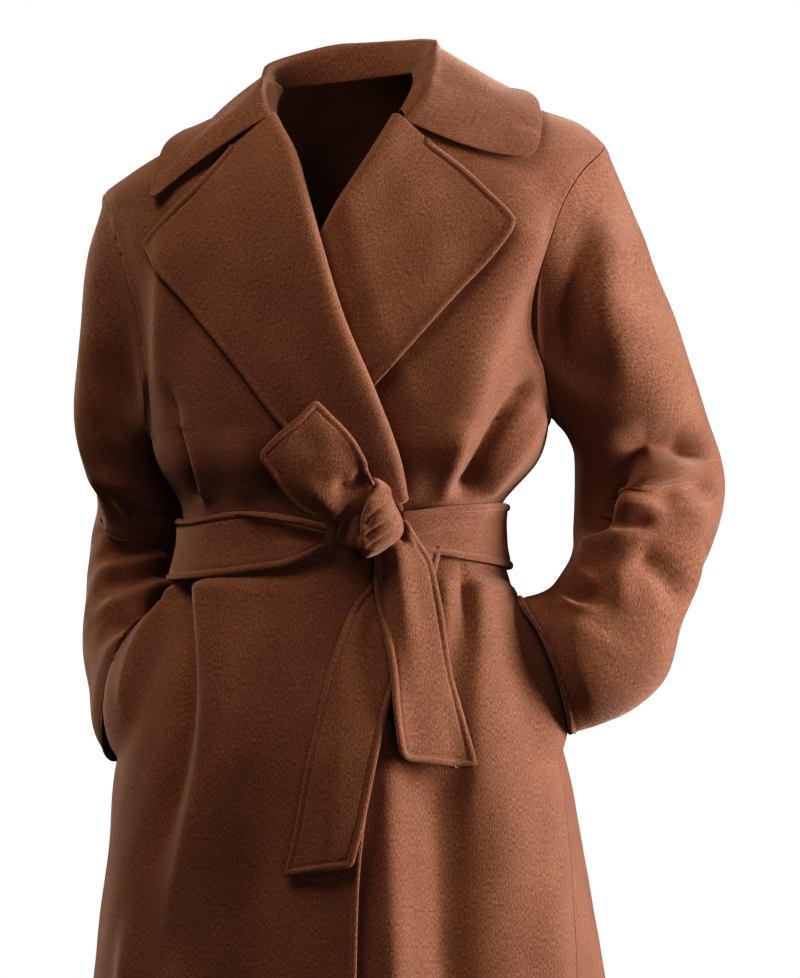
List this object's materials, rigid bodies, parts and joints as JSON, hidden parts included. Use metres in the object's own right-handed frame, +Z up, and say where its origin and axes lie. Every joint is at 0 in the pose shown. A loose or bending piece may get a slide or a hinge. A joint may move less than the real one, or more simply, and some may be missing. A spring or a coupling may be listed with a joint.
{
  "type": "wool wrap coat",
  "caption": "Long wool wrap coat worn open at the neck: notched collar, wide lapels, drop-shoulder sleeves bent to the side pockets, knotted cloth belt, flared skirt.",
  "frame": {"origin": "the middle of the neck opening at the base of the collar, where the wearer's neck and shoulders hold the coat up", "axes": "+Z up along the wearer's back; the coat faces -Y, and +X is the wearer's left"},
  "size_m": [0.6585, 0.4275, 1.1669],
  "materials": {
    "wool": "double-faced brown wool with a short felted nap and a soft sheen"
  },
  "bodies": {
    "root": {"back": "wool", "front_left": "wool", "front_right": "wool", "sleeve_left": "wool", "sleeve_right": "wool", "collar": "wool", "lapel_left": "wool", "lapel_right": "wool", "belt_waist": "wool", "belt_knot": "wool", "belt_wrap": "wool", "belt_end_up": "wool", "belt_end_front": "wool", "belt_end_back": "wool"}
  },
  "joints": []
}
